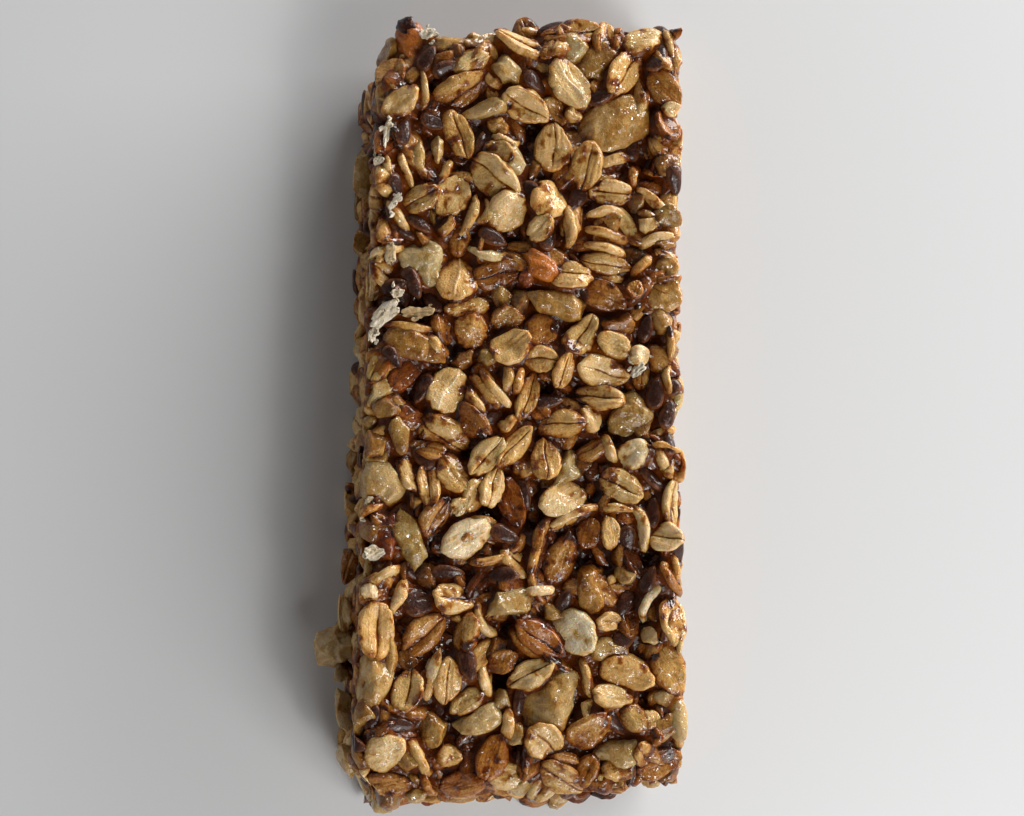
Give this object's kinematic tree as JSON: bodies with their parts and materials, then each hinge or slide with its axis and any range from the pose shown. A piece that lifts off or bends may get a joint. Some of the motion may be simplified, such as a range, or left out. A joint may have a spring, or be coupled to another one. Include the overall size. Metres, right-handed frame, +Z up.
{
  "type": "granola bar",
  "caption": "Cut bar of rolled oats, flax seeds and chopped nuts held in browned syrup, with a flat underside, knife-cut long sides and broken ends.",
  "frame": {"origin": "middle of the flat underside", "axes": "+Y along the bar's length, +X across it, +Z up out of the top face"},
  "size_m": [0.0536, 0.1152, 0.0184],
  "materials": {
    "oats_in_syrup": "oats and seeds in glossy baked syrup",
    "nut": "translucent chopped nut with a thin syrup glaze"
  },
  "bodies": {
    "root": {"oat_slab": "oats_in_syrup", "nut_far_right": "nut", "nut_far_edge": "nut", "nut_far_middle": "nut", "nut_far_brown": "nut", "nut_right_yellow": "nut", "nut_left_round": "nut", "nut_left_oval": "nut", "nut_clear_middle": "nut", "nut_right_wedge": "nut", "nut_grey_middle": "nut", "nut_left_cut": "nut", "nut_left_crescent": "nut", "nut_near_spear": "nut", "nut_left_wedge": "nut", "nut_near_middle": "nut", "nut_near_olive": "nut", "nut_near_brown": "nut", "nut_near_block": "nut", "nut_near_amber": "nut", "nut_flank": "nut"}
  },
  "joints": []
}
